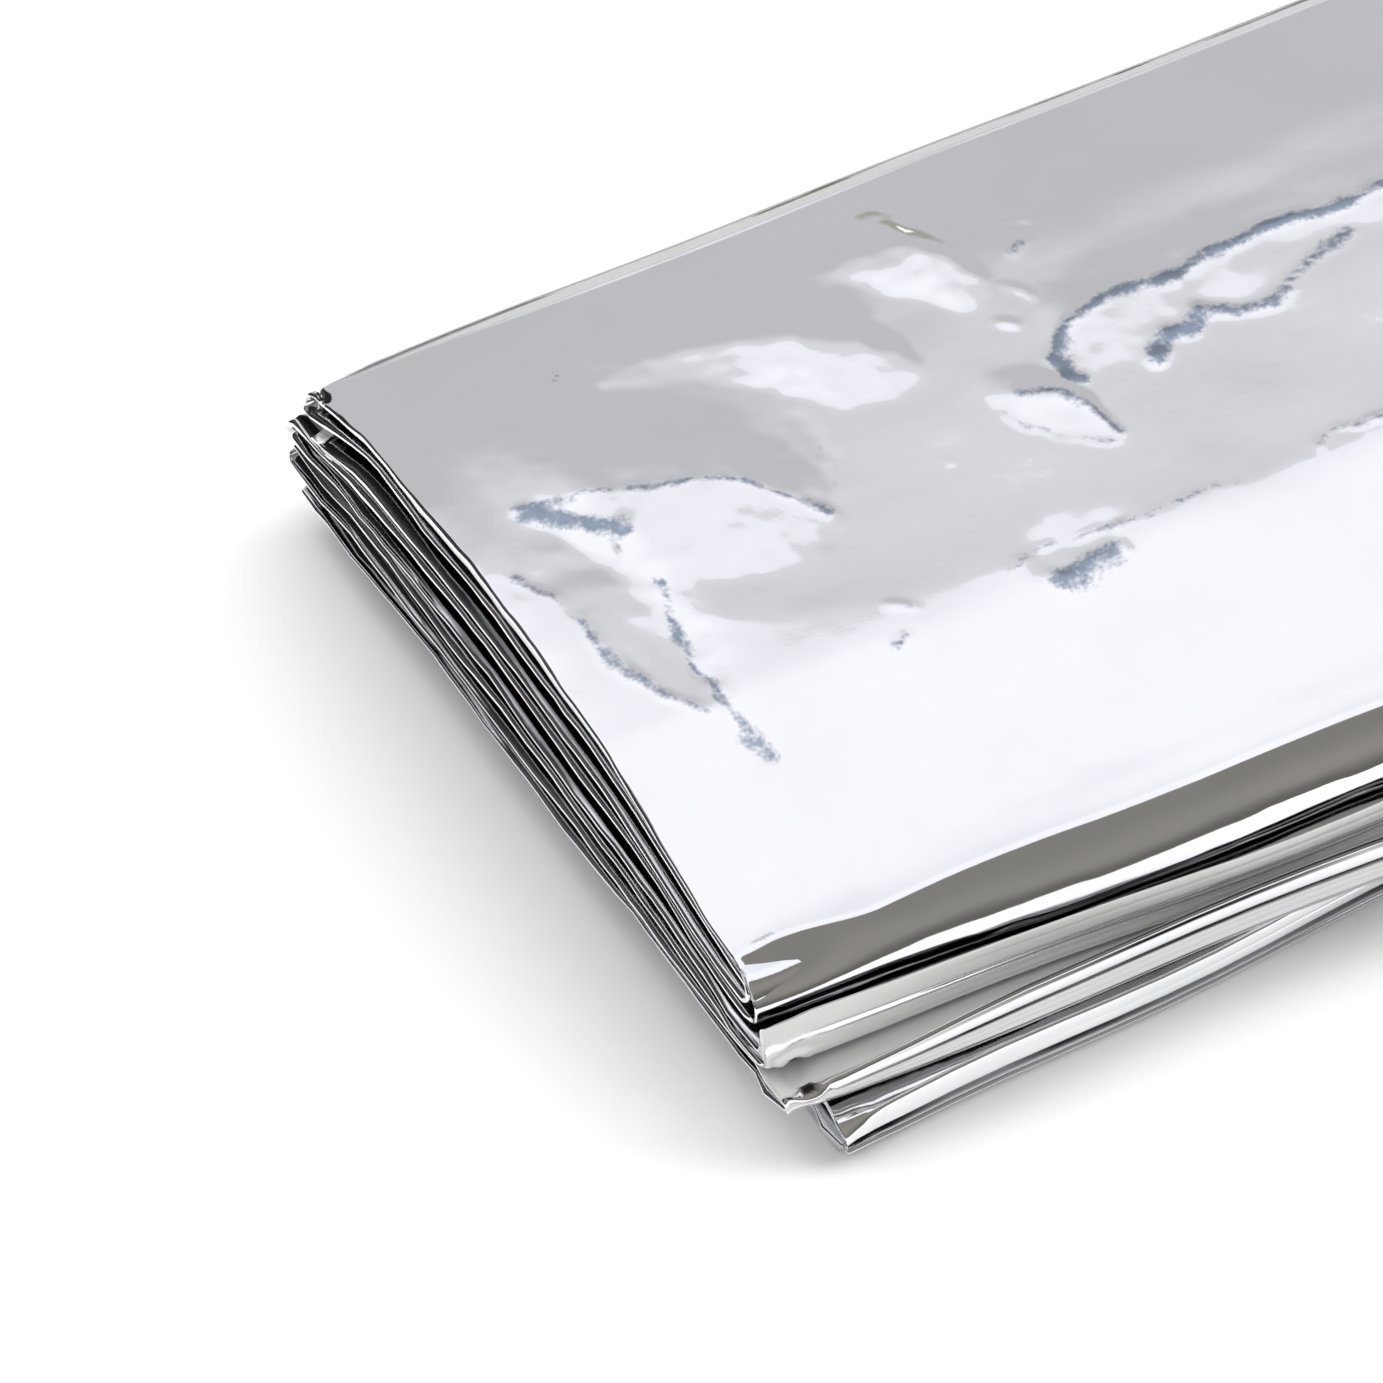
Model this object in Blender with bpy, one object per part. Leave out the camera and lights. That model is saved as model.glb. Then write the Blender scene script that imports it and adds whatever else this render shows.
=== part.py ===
"""Emergency foil blanket, folded into a flat packet.

One cut sheet of metallised film lies back and forth in ten layers, each one a bundle of film.
X runs along the packet's long side, Y from its front to its back, Z up. All sizes are in
millimetres until the last step. Heights and reaches are measured from the packet's own
bottom and from the front edge of its top layer.
"""

import math

import bmesh
import bpy

MM = 0.001

LENGTH = 131.0
TOP_BACK = 74.0
FREE_END = 72.6
LEAST_GAP = 0.3

# The packet is swollen in its middle. From its front edge it stays low as far as LOW_FRONT,
# is level between MIDDLE_FRONT and MIDDLE_BACK, and slopes down from there to its back, more
# suddenly past ROLL_GROWS than at the left end.
LOW_FRONT = 3.0
MIDDLE_FRONT = 25.0
MIDDLE_BACK = 44.0
BEND_LEFT = 1.5
BEND_RIGHT = 2.4
ROLL_GROWS = 30.0

# One row a layer, from the top down. The setbacks say how far its two ends stand in from the
# packet's ends; skew moves the left end of its front further in than that of its back.
LAYER_COLUMNS = ("thick", "left", "right", "skew")
LAYERS = (
    (1.0, 0.1, 1.0, 0.1),
    (1.0, 0.4, 0.4, 0.2),
    (1.0, 0.0, 0.9, 0.2),
    (1.0, 0.1, 0.2, 0.1),
    (1.0, -0.4, 0.7, 0.3),
    (1.0, -0.2, 0.0, 0.4),
    (1.0, -0.6, 0.8, 1.1),
    (1.0, -0.8, 0.5, 1.4),
    (1.4, 4.0, 3.0, 0.4),
    (1.4, 4.4, 3.4, 0.3),
)

# One row for the air under each layer: at the front (at the left end, and past ROLL_GROWS),
# in the middle and at the back.
GAP_COLUMNS = ("front_left", "front_right", "middle", "back")
GAPS = (
    (0.5, 1.2, 1.2, 0.7),
    (0.5, 1.0, 1.3, 0.6),
    (0.5, 1.2, 1.0, 0.6),
    (0.35, 0.35, 1.5, 0.9),
    (1.2, 0.4, 0.9, 0.4),
    (0.35, 0.35, 1.2, 0.7),
    (0.5, 0.4, 0.7, 0.4),
    (0.35, 0.35, 0.5, 0.4),
    (1.4, 1.2, 1.3, 0.6),
)

# One row a fold, in the order in which the sheet runs: the layer it comes from, the layer it
# goes to, its side (-1 front, 1 back), where its outside ends at the packet's left and right,
# and how far it waves in and out. The first front fold lies inside the thick roll that the
# second one makes.
FOLD_COLUMNS = ("from", "to", "side", "reach_left", "reach_right", "wave")
FOLDS = (
    (2, 1, -1, -0.3, -1.9, 0.3),
    (1, 0, 1, 74.4, 74.6, 0.08),
    (0, 3, -1, -1.9, -3.9, 0.15),
    (3, 4, 1, 76.6, 75.6, 0.4),
    (4, 5, -1, -2.9, -4.5, 0.3),
    (5, 6, 1, 77.0, 76.4, 0.4),
    (6, 7, -1, -6.0, -5.2, 0.35),
    (7, 8, 1, 76.0, 77.0, 0.4),
    (8, 9, -1, -8.9, 1.2, 0.25),
)
WAVE_LONG = 46.0

# Soft dents (negative) and swells in the top: the middle of each, its half length and half
# width, the way it runs and its depth.
DENT_COLUMNS = ("x", "y", "half_long", "half_wide", "turn", "deep")
DENTS = (
    (17.0, 48.0, 13.0, 5.0, 60.0, -0.55),
    (36.0, 54.0, 11.0, 4.5, -40.0, 0.45),
    (43.0, 25.0, 8.0, 4.0, 25.0, -0.5),
    (58.0, 46.0, 9.0, 4.0, -50.0, -0.45),
    (75.0, 49.0, 20.0, 3.5, 0.0, 0.4),
    (13.0, 17.0, 10.0, 4.0, 70.0, -0.4),
    (96.0, 30.0, 14.0, 5.0, 20.0, -0.45),
    (112.0, 55.0, 11.0, 5.0, -30.0, -0.4),
)
DENTED_LAYERS = 4
DENT_LEFT_BELOW = 0.6

GAP_WAVE = 0.12
GAP_WAVE_LONG = 37.0
TURN_STEP = 2.1

STATIONS = (0.0, 0.03, 0.08, 0.15, 0.23, 0.32, 0.42, 0.52, 0.62, 0.72, 0.82, 0.91, 1.0)
LAYER_STEPS = 10
FOLD_STEPS = 5
FIT_ROUNDS = 4

FILM_COLOUR = (0.80, 0.81, 0.83, 1.0)
FILM_ROUGHNESS = 0.18


def rows(columns, table):
    return [dict(zip(columns, row)) for row in table]


LAYER_ROWS = rows(LAYER_COLUMNS, LAYERS)
GAP_ROWS = rows(GAP_COLUMNS, GAPS)
FOLD_ROWS = rows(FOLD_COLUMNS, FOLDS)
DENT_ROWS = rows(DENT_COLUMNS, DENTS)


def blend(start, end, part):
    return start + (end - start) * part


def ease(low, high, value):
    """0 at low, 1 at high, with a level start and end."""
    part = min(max((value - low) / (high - low), 0.0), 1.0)
    return part * part * (3.0 - 2.0 * part)


def gap_below(index, x, y):
    """The air under layer number index at a place on the packet."""
    row = GAP_ROWS[index]
    front = blend(row["front_left"], row["front_right"], ease(0.0, ROLL_GROWS, x))
    near_front = 1.0 - ease(LOW_FRONT, MIDDLE_FRONT, y)
    bend = blend(BEND_LEFT, BEND_RIGHT, ease(0.0, ROLL_GROWS, x))
    near_back = min(max((y - MIDDLE_BACK) / (TOP_BACK - MIDDLE_BACK), 0.0), 1.0) ** bend
    gap = row["middle"]
    gap += (front - gap) * near_front + (row["back"] - gap) * near_back
    wave = math.sin(2.0 * math.pi * x / GAP_WAVE_LONG + index * TURN_STEP)
    return max(gap + GAP_WAVE * wave * gap, LEAST_GAP)


def dent(x, y):
    """The sum of the dents and swells at a place on the top."""
    depth = 0.0
    for row in DENT_ROWS:
        turn = math.radians(row["turn"])
        dx, dy = x - row["x"], y - row["y"]
        along = (dx * math.cos(turn) + dy * math.sin(turn)) / row["half_long"]
        across = (dy * math.cos(turn) - dx * math.sin(turn)) / row["half_wide"]
        depth += row["deep"] * math.exp(-(along * along) - across * across)
    return depth


def height(index, x, y):
    """The height of the middle of layer number index at a place on the packet."""
    last = len(LAYER_ROWS) - 1
    level = LAYER_ROWS[last]["thick"] / 2.0
    for below in range(last, index, -1):
        upper, lower = LAYER_ROWS[below - 1], LAYER_ROWS[below]
        level += (upper["thick"] + lower["thick"]) / 2.0 + gap_below(below - 1, x, y)
    if index < DENTED_LAYERS:
        level += dent(x, y) * DENT_LEFT_BELOW**index
    return level


def reach(fold, part):
    """Where the outside of a fold ends, at a share of the packet's length."""
    turn = 2.0 * math.pi * part * LENGTH / WAVE_LONG + fold["to"] * TURN_STEP
    return blend(fold["reach_left"], fold["reach_right"], part) + fold["wave"] * math.sin(turn)


def place(index, other, share, part, y):
    """The X of a point between layers index and other, at a share of the layers' own length."""
    one, two = LAYER_ROWS[index], LAYER_ROWS[other]
    left = blend(one["left"], two["left"], share)
    right = blend(one["right"], two["right"], share)
    skew = blend(one["skew"], two["skew"], share)
    left += skew * (1.0 - y / TOP_BACK)
    return blend(left, LENGTH - right, part)


def fold_start(fold, part):
    """The Y at which a fold starts to turn, so that its outside ends at its reach."""
    one, two, side = fold["from"], fold["to"], fold["side"]
    half = LAYER_ROWS[one]["thick"] / 2.0
    outside = reach(fold, part)
    y = outside
    for _ in range(FIT_ROUNDS):
        x = place(one, two, 0.5, part, y)
        rise = abs(height(one, x, y) - height(two, x, y)) / 2.0
        y = outside - side * (half + rise)
    return y


def layer_points(index, start, end, facing, part):
    """Both faces of one layer, from its start to its end."""
    half = LAYER_ROWS[index]["thick"] / 2.0 * facing
    pairs = []
    for step in range(LAYER_STEPS + 1):
        y = blend(start, end, step / LAYER_STEPS)
        x = place(index, index, 0.0, part, y)
        z = height(index, x, y)
        pairs.append(((x, y, z + half), (x, y, z - half)))
    return pairs


def fold_points(fold, y, facing, part):
    """Both faces of one fold, from the layer it comes from to the one it goes to."""
    one, two, side = fold["from"], fold["to"], fold["side"]
    down = 1.0 if two > one else -1.0
    pairs = []
    for step in range(1, FOLD_STEPS):
        share = step / FOLD_STEPS
        turn = math.pi * share
        x = place(one, two, share, part, y)
        first, second = height(one, x, y), height(two, x, y)
        middle, rise = (first + second) / 2.0, abs(first - second) / 2.0
        half = blend(LAYER_ROWS[one]["thick"], LAYER_ROWS[two]["thick"], share) / 2.0
        pair = []
        for face in (half * facing * down, -half * facing * down):
            out_y = y + side * (rise + face) * math.sin(turn)
            out_z = middle + down * (rise + face) * math.cos(turn)
            pair.append((x, out_y, out_z))
        pairs.append(tuple(pair))
    return pairs


def section(part):
    """Both faces of the whole sheet at a share of its length, as pairs of points."""
    starts = [fold_start(fold, part) for fold in FOLD_ROWS]
    path = [FOLD_ROWS[0]["from"]] + [fold["to"] for fold in FOLD_ROWS]
    bends = [FREE_END] + starts + [TOP_BACK]
    pairs = []
    facing = 1.0
    for number, index in enumerate(path):
        pairs += layer_points(index, bends[number], bends[number + 1], facing, part)
        if number < len(FOLD_ROWS):
            pairs += fold_points(FOLD_ROWS[number], starts[number], facing, part)
            facing = -facing
    return pairs


def build_sheet():
    sheet = bmesh.new()
    stations = [section(part) for part in STATIONS]
    count = len(stations[0])
    grid = [[[sheet.verts.new(p) for p in pair] for pair in station] for station in stations]
    for here, there in zip(grid, grid[1:]):
        for i in range(count - 1):
            for face in (0, 1):
                corners = (here[i][face], there[i][face], there[i + 1][face], here[i + 1][face])
                sheet.faces.new(corners)
        for i in (0, count - 1):
            sheet.faces.new((here[i][0], there[i][0], there[i][1], here[i][1]))
    for end in (grid[0], grid[-1]):
        for one, two in zip(end, end[1:]):
            sheet.faces.new((one[0], two[0], two[1], one[1]))
    bmesh.ops.recalc_face_normals(sheet, faces=sheet.faces)
    return sheet


def centre_on_bottom(sheet):
    """Move the sheet so that the middle of its box's bottom is at zero, and change to metres."""
    low = [min(v.co[axis] for v in sheet.verts) for axis in range(3)]
    high = [max(v.co[axis] for v in sheet.verts) for axis in range(3)]
    for vert in sheet.verts:
        vert.co.x = (vert.co.x - (low[0] + high[0]) / 2.0) * MM
        vert.co.y = (vert.co.y - (low[1] + high[1]) / 2.0) * MM
        vert.co.z = (vert.co.z - low[2]) * MM


def film_material():
    film = bpy.data.materials.new("silver_film")
    film.use_nodes = True
    shader = film.node_tree.nodes["Principled BSDF"]
    shader.inputs["Base Color"].default_value = FILM_COLOUR
    shader.inputs["Metallic"].default_value = 1.0
    shader.inputs["Roughness"].default_value = FILM_ROUGHNESS
    return film


def main():
    for thing in list(bpy.data.objects):
        bpy.data.objects.remove(thing, do_unlink=True)
    sheet = build_sheet()
    centre_on_bottom(sheet)
    mesh = bpy.data.meshes.new("foil_sheet")
    sheet.to_mesh(mesh)
    sheet.free()
    blanket = bpy.data.objects.new("foil_sheet", mesh)
    bpy.context.scene.collection.objects.link(blanket)
    mesh.materials.append(film_material())


main()
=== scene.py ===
"""The looks of a folded emergency foil blanket.

One sheet of bright silver film lies back and forth in a flat packet. The sheet is modelled here
on the folds of its solid, with thin rounded ends, creased corners and the creases of its top.
Sizes are in millimetres in the packet's own measures until the mesh is made: X along the
packet from its left end, Y from the front edge of its top to the back, Z up from its bottom.
"""

import math

import bmesh
import bpy
import numpy as np
from mathutils import Matrix, Vector


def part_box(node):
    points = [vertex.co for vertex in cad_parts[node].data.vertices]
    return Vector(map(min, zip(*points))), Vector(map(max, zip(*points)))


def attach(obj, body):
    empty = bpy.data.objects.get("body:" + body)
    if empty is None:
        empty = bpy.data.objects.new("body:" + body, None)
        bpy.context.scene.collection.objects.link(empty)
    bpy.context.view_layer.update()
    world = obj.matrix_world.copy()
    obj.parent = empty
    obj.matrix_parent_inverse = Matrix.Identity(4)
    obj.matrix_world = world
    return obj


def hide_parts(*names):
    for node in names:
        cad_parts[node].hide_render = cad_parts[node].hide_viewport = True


MM = 0.001
SOLID = "foil_sheet"

# The solid's own left and front edge in the packet's measures.
SOLID_LEFT = -0.806
SOLID_FRONT = -8.789

# The packet's length, the back edge of its top and the sheet's end inside it. Then how the air
# between the layers changes from the front over the middle to the back, and along the packet.
LENGTH = 131.0
TOP_BACK = 74.0
FREE_END = 72.6
LEAST_GAP = 0.3
LOW_FRONT = 3.0
MIDDLE_FRONT = 25.0
MIDDLE_BACK = 44.0
BEND_LEFT = 1.5
BEND_RIGHT = 2.4
ROLL_GROWS = 30.0

# The layers from the top down: how thick each is, how far its left and right end are set back, and
# how much further its left end is set back at the front.
LAYER_COLUMNS = ("thick", "left", "right", "skew")
LAYERS = (
    (1.0, 0.1, 1.0, 0.1),
    (1.0, 0.4, 0.4, 0.2),
    (1.0, 0.0, 0.9, 0.2),
    (1.0, 0.1, 0.2, 0.1),
    (1.0, -0.4, 0.7, 0.3),
    (1.0, -0.2, 0.0, 0.4),
    (1.0, -0.6, 0.8, 1.1),
    (1.0, -0.8, 0.5, 1.4),
    (1.4, 4.0, 3.0, 0.4),
    (1.4, 4.4, 3.4, 0.3),
)

# The air under each layer from the top down, at the front's left end and further right, in the
# middle and at the back.
GAP_COLUMNS = ("front_left", "front_right", "middle", "back")
GAPS = (
    (0.5, 1.2, 1.2, 0.7),
    (0.5, 1.0, 1.3, 0.6),
    (0.5, 1.2, 1.0, 0.6),
    (0.35, 0.35, 1.5, 0.9),
    (1.2, 0.4, 0.9, 0.4),
    (0.35, 0.35, 1.2, 0.7),
    (0.5, 0.4, 0.7, 0.4),
    (0.35, 0.35, 0.5, 0.4),
    (1.4, 1.2, 1.3, 0.6),
)

# The folds in the sheet's own order: the two layers, the side (-1 is the front, 1 the back), how far
# out each reaches at its left and its right end, and how much its line waves.
FOLD_COLUMNS = ("from", "to", "side", "reach_left", "reach_right", "wave")
FOLDS = (
    (2, 1, -1, -0.3, -1.9, 0.3),
    (1, 0, 1, 74.4, 74.6, 0.08),
    (0, 3, -1, -1.9, -3.9, 0.15),
    (3, 4, 1, 76.6, 75.6, 0.4),
    (4, 5, -1, -2.9, -4.5, 0.3),
    (5, 6, 1, 77.0, 76.4, 0.4),
    (6, 7, -1, -6.0, -5.2, 0.35),
    (7, 8, 1, 76.0, 77.0, 0.4),
    (8, 9, -1, -8.9, 1.2, 0.25),
)
WAVE_LONG = 46.0

# The large swells, and dents where the height is negative: the middle, the half sizes, the turn in
# degrees and the height of each, how many layers they reach and how they fade downwards.
DENT_COLUMNS = ("x", "y", "half_long", "half_wide", "turn", "deep")
DENTS = (
    (36.0, 54.0, 11.0, 4.5, -40.0, 0.1),
    (96.0, 30.0, 14.0, 5.0, 20.0, -0.3),
    (112.0, 55.0, 11.0, 5.0, -30.0, -0.3),
)
DENTED_LAYERS = 4
DENT_LEFT_BELOW = 0.6

# How the gaps wave along the packet, and how many rounds find where each fold starts.
GAP_WAVE = 0.12
GAP_WAVE_LONG = 37.0
TURN_STEP = 2.1
FIT_ROUNDS = 4

# The long low ridge where the top turns down towards its front, from left to right.
RIDGE_X = (0.0, 9.0, 12.1, 13.5, 17.5, 24.6, 37.0, 49.0, 58.0, 72.0, 90.0, 110.0, 131.0)
RIDGE_Y = (41.0, 39.0, 36.0, 32.2, 29.2, 27.4, 25.2, 24.8, 24.2, 24.8, 26.0, 23.0, 26.0)
RIDGE_HIGH = 0.66
RIDGE_FRONT = 29.0
RIDGE_BACK = 30.0

# How the top stays flat towards its back edge before it dips: the share of the way at which the
# dip starts and how softly, and from where to where on its left that grows.
FLAT_SHARE = 0.6
FLAT_SOFT = 0.24
FLAT_FROM = 1.0
FLAT_FULL = 10.0

# The narrow strip along the back edge: a thin raised line, a satin band behind it and the rim where
# it turns down, with their widths and slopes in degrees, the radius of the turn, how it narrows to
# the left and to the right, and how satin the band is.
LINE_WIDE = 0.35
LINE_SLOPE = -3.0
BAND_WIDE = 0.8
BAND_SLOPE = 11.0
RIM_SLOPE = 25.5
RIM_RADIUS = 1.35
STRIP_GROWS = (-1.0, 24.0)
STRIP_SHRINKS = (45.0, 85.0)
RIM_SATIN = 0.9
# How much painted shade darkens the satin band and the rim's turn.
BAND_PAINTED_SHADE = 0.3
RIM_PAINTED_SHADE = 0.62

# How much painted shade darkens the film's faces deep in the narrow gaps and on the packet's underside.
GAP_PAINTED_SHADE = 0.85

# How far the upper layers sag at the back left corner, from the top down, and how much further
# the top's turn reaches there.
SAGS = (0.7, 0.6, 0.3)
SAG_WIDE = 6.0
SAG_GROWS = (66.0, 75.0)
SAG_REACH = 0.4

# The facets of the top: for each, how steeply it dips to the front (or to the back where the
# number is negative), in degrees, how far its crest takes to fade, and its lower and upper
# edge from left to right.
FACET_COLUMNS = ("dip", "fade", "x", "lower", "upper")
FACETS = (
    (4.6, 10.0, (19.0, 23.5, 26.5, 30.0, 32.0, 35.0, 39.0, 41.0, 42.4),
     (58.6, 57.7, 56.0, 53.2, 50.4, 47.2, 46.6, 47.1, 47.8),
     (60.0, 60.8, 60.0, 58.6, 57.4, 56.0, 53.0, 50.5, 48.2)),
    (5.8, 9.0, (37.6, 42.0, 44.0, 46.6, 48.2, 50.3, 52.0),
     (61.4, 60.2, 58.4, 55.3, 52.4, 52.6, 53.6),
     (62.8, 62.9, 62.9, 62.2, 60.5, 58.2, 55.2)),
    (4.4, 5.0, (45.3, 46.5, 48.4, 50.5, 51.6, 52.7), (41.2, 39.6, 36.7, 35.0, 34.3, 33.8),
     (41.7, 41.6, 40.7, 40.0, 38.6, 34.3)),
    (3.4, 13.0, (5.4, 8.1, 11.3, 13.0, 15.3, 20.0, 23.4, 26.2, 28.8),
     (49.8, 46.0, 38.6, 36.0, 35.8, 34.4, 33.8, 34.4, 36.0),
     (50.3, 49.6, 48.4, 47.8, 46.9, 45.0, 43.7, 40.8, 37.4)),
    (3.2, 6.0, (53.0, 55.0, 58.0, 62.0, 66.0, 70.0, 74.0, 78.0, 84.0, 90.0, 96.0),
     (43.4, 41.4, 40.6, 41.6, 43.6, 43.0, 44.4, 45.2, 44.6, 46.2, 47.0),
     (44.4, 46.6, 47.6, 47.8, 47.3, 48.6, 48.9, 49.0, 48.4, 48.2, 47.3)),
    (-3.0, 4.0, (38.6, 40.5, 42.2, 46.8, 49.4),
     (23.8, 20.8, 20.4, 21.4, 24.2),
     (24.4, 25.0, 25.3, 24.6, 24.8)),
    (2.2, 8.0, (97.0, 101.0, 106.0, 111.0, 114.0),
     (55.0, 52.0, 51.0, 54.0, 59.0),
     (55.6, 57.0, 58.5, 60.0, 59.6)),
    (2.2, 8.0, (104.0, 109.0, 114.0, 119.0),
     (33.0, 30.0, 33.0, 40.0),
     (33.8, 37.0, 41.0, 41.0)),
)
# The facets that dip to the left (or to the right where the number is negative) instead, with
# their left and right edge from front to back.
SIDE_FACETS = (
    (-4.0, 4.6, (24.0, 27.0, 30.0, 34.0, 38.0, 42.0, 46.0, 50.5),
     (8.6, 6.6, 5.6, 4.9, 4.1, 2.8, 3.6, 5.2),
     (9.4, 10.3, 10.7, 10.4, 10.0, 9.4, 7.6, 5.8)),
)
DEGREE = math.pi / 180.0

# The sharp marks in the top: how wide each is, how high its ridge stands, how dull it makes the film and
# how strongly it paints a dark bluish reflection, and its path.
MARK_COLUMNS = ("wide", "high", "dull_and_reflection", "x", "y")
MARKS = (
    (0.75, 0.12, 0.95, (96.0, 88.0, 82.0, 76.0, 70.5, 65.2, 59.1, 54.8, 52.6, 52.3, 53.0),
     (47.0, 48.6, 48.4, 49.2, 49.0, 47.9, 48.3, 47.0, 44.4, 42.2, 41.0)),
    (1.1, 0.16, 0.9, (59.4, 61.5, 63.5, 65.2), (40.0, 42.4, 42.0, 43.6)),
    (0.7, 0.1, 0.75, (65.2, 68.0, 71.0, 76.0, 80.0), (43.6, 42.0, 41.6, 44.4, 45.4)),
    (0.5, 0.05, 0.75, (6.0, 11.0, 15.7, 20.0, 23.6, 25.6, 28.0),
     (50.0, 48.7, 47.1, 45.6, 43.7, 41.2, 38.0)),
    (1.2, 0.08, 0.85, (6.6, 8.6, 10.4, 12.4), (49.2, 47.8, 45.6, 43.8)),
    (0.6, 0.12, 0.8, (4.6, 5.2, 6.4, 7.8, 9.3), (35.0, 31.6, 27.6, 25.2, 23.2)),
    (0.45, 0.06, 0.6, (2.4, 4.0, 4.6), (43.6, 39.8, 35.6)),
    (0.5, -0.05, 0.75, (12.8, 11.5, 10.7, 10.8, 11.3, 11.2),
     (37.6, 33.8, 29.1, 24.2, 21.7, 18.0)),
    (0.9, 0.1, 0.8, (11.0, 11.4), (19.2, 17.6)),
    (1.0, -0.06, 0.15, (31.0, 31.2, 29.3, 26.2), (48.2, 43.2, 39.1, 35.1)),
    (0.45, 0.05, 0.65, (37.5, 41.0, 45.0, 49.0, 54.0, 58.5),
     (25.6, 26.2, 25.8, 25.5, 25.3, 25.0)),
    (1.5, 0.14, 0.8, (40.6, 43.0, 46.0), (22.4, 22.2, 23.2)),
    (0.35, 0.16, 0.0, (46.2, 47.2, 47.9), (20.6, 23.0, 25.4)),
    (0.6, 0.08, 0.8, (47.6, 49.4, 50.9, 52.0, 53.0), (41.9, 41.2, 40.2, 38.0, 34.4)),
    (0.35, 0.04, 0.4, (45.6, 46.6, 48.6, 50.6, 52.6), (41.0, 38.8, 36.1, 34.5, 33.5)),
    (0.55, 0.08, 0.6, (66.0, 69.0, 72.5, 76.0), (25.4, 26.4, 25.7, 26.6)),
    (0.8, 0.1, 0.7, (55.4, 56.2), (56.8, 57.4)),
    (0.5, 0.1, 0.6, (25.6, 26.8), (22.0, 22.8)),
    (0.4, 0.1, 0.5, (15.8, 16.6), (62.4, 63.0)),
    (0.5, 0.1, 0.5, (100.0, 104.0, 110.0), (44.0, 47.0, 48.0)),
    (0.6, 0.12, 0.7, (116.0, 119.0, 120.0), (24.0, 28.0, 34.0)),
    (0.4, 0.09, 0.2, (55.6, 56.6, 57.8), (60.0, 60.6, 59.9)),
    (0.35, 0.08, 0.1, (52.8, 53.6, 54.0), (53.6, 52.8, 51.4)),
    (0.35, 0.08, 0.1, (50.6, 51.6), (49.8, 49.0)),
    (0.3, 0.07, 0.1, (38.8, 39.8), (38.6, 38.0)),
    (0.35, 0.08, 0.3, (27.2, 28.2, 29.0), (26.2, 25.4, 25.2)),
    (0.3, 0.06, 0.2, (56.0, 57.0), (22.6, 22.0)),
    (0.4, 0.08, 0.1, (19.8, 21.2), (62.4, 61.6)),
    (0.5, 0.02, 0.7, (2.4, 4.0, 6.0), (3.3, 3.5, 2.7)),
)

# How broken those marks are and how fine their crumple is, how uneven the film is all over, and how
# the top's left edge rolls down.
MARK_BROKEN = 0.42
CRUMPLE_SIZE = 1.3
UNEVEN = 0.07
LEFT_ROLL = 0.13
LEFT_ROLL_WIDE = 2.6
LEFT_ROLL_GROWS = (22.0, 34.0)
LEFT_ROLL_SHRINKS = (50.0, 58.0)

# The fill that makes the top's steepest fall gentler: its slope, its middle and width from front to
# back, and how far along the packet it fades.
GENTLE = 0.06
GENTLE_Y = 14.0
GENTLE_WIDE = 6.0
GENTLE_FADE = 6.0

# The outer faces of the folds at the front, from their tops to their bottoms: at each share of the
# turn, how far out and how high the face lies at the left end and further right, in the fold's own
# radius (a plain round fold goes from 0, 1 over 1, 0 to 0, -1).
FACE_COLUMNS = ("share", "out_left", "high_left", "out", "high")
FACES = {
    3: (
        (0.0, -0.73, 1.0, -0.08, 1.0),
        (0.05, -0.5, 0.905, 0.1, 0.92),
        (0.1, -0.2, 0.787, 0.3, 0.825),
        (0.16, 0.1, 0.672, 0.5, 0.71),
        (0.22, 0.4, 0.555, 0.7, 0.575),
        (0.28, 0.7, 0.4, 0.85, 0.415),
        (0.34, 0.9, 0.235, 0.95, 0.25),
        (0.4, 0.99, 0.03, 1.0, 0.05),
        (0.48, 1.0, -0.15, 1.0, -0.22),
        (0.56, 0.97, -0.35, 0.96, -0.42),
        (0.68, 0.85, -0.62, 0.8, -0.65),
        (0.82, 0.5, -0.88, 0.45, -0.9),
        (1.0, 0.0, -1.0, 0.0, -1.0),
    ),
    5: (
        (0.0, 0.0, 1.0, 0.0, 1.0),
        (0.1, 0.3, 1.0, 0.5, 1.0),
        (0.2, 0.62, 2.2, 0.78, 1.9),
        (0.27, 0.82, 3.0, 0.88, 2.9),
        (0.32, 0.93, 3.1, 0.96, 3.02),
        (0.37, 1.0, 2.95, 1.0, 2.85),
        (0.82, 1.0, -0.1, 1.0, -0.6),
        (0.88, 0.93, -0.6, 0.95, -0.85),
        (0.94, 0.6, -0.95, 0.6, -1.0),
        (1.0, 0.0, -1.0, 0.0, -1.0),
    ),
    7: (
        (0.0, 0.0, 1.0, 0.0, 1.0),
        (0.07, 0.3, 1.0, 0.25, 1.1),
        (0.14, 0.5, 1.05, 0.3, 2.4),
        (0.2, 0.65, 1.05, 0.42, 3.2),
        (0.25, 0.78, 1.0, 0.6, 3.28),
        (0.3, 0.88, 0.9, 0.78, 3.12),
        (0.35, 0.95, 0.75, 0.92, 2.85),
        (0.4, 1.0, 0.55, 1.0, 2.45),
        (0.52, 1.0, 0.25, 1.0, 1.5),
        (0.72, 1.0, -0.2, 1.0, 0.0),
        (0.8, 0.97, -0.45, 0.95, -0.4),
        (0.88, 0.8, -0.75, 0.75, -0.75),
        (1.0, 0.0, -1.0, 0.0, -1.0),
    ),
    9: (
        (0.0, 0.0, 1.0, 0.0, 1.0),
        (0.12, 0.25, 0.95, 0.3, 1.0),
        (0.2, 0.5, 0.8, 0.46, 1.0),
        (0.26, 0.66, 0.62, 0.53, 0.93),
        (0.32, 0.78, 0.45, 0.57, 0.78),
        (0.6, 0.84, 0.0, 0.7, 0.02),
        (0.65, 0.7, -0.1, 0.58, -0.06),
        (0.72, 0.3, -0.3, 0.1, -0.25),
        (0.8, 0.3, -0.62, 0.1, -0.62),
        (0.87, 0.68, -0.74, 0.56, -0.76),
        (0.94, 0.7, -0.92, 0.58, -0.92),
        (1.0, 0.0, -1.0, 0.0, -1.0),
    ),
}

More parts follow.
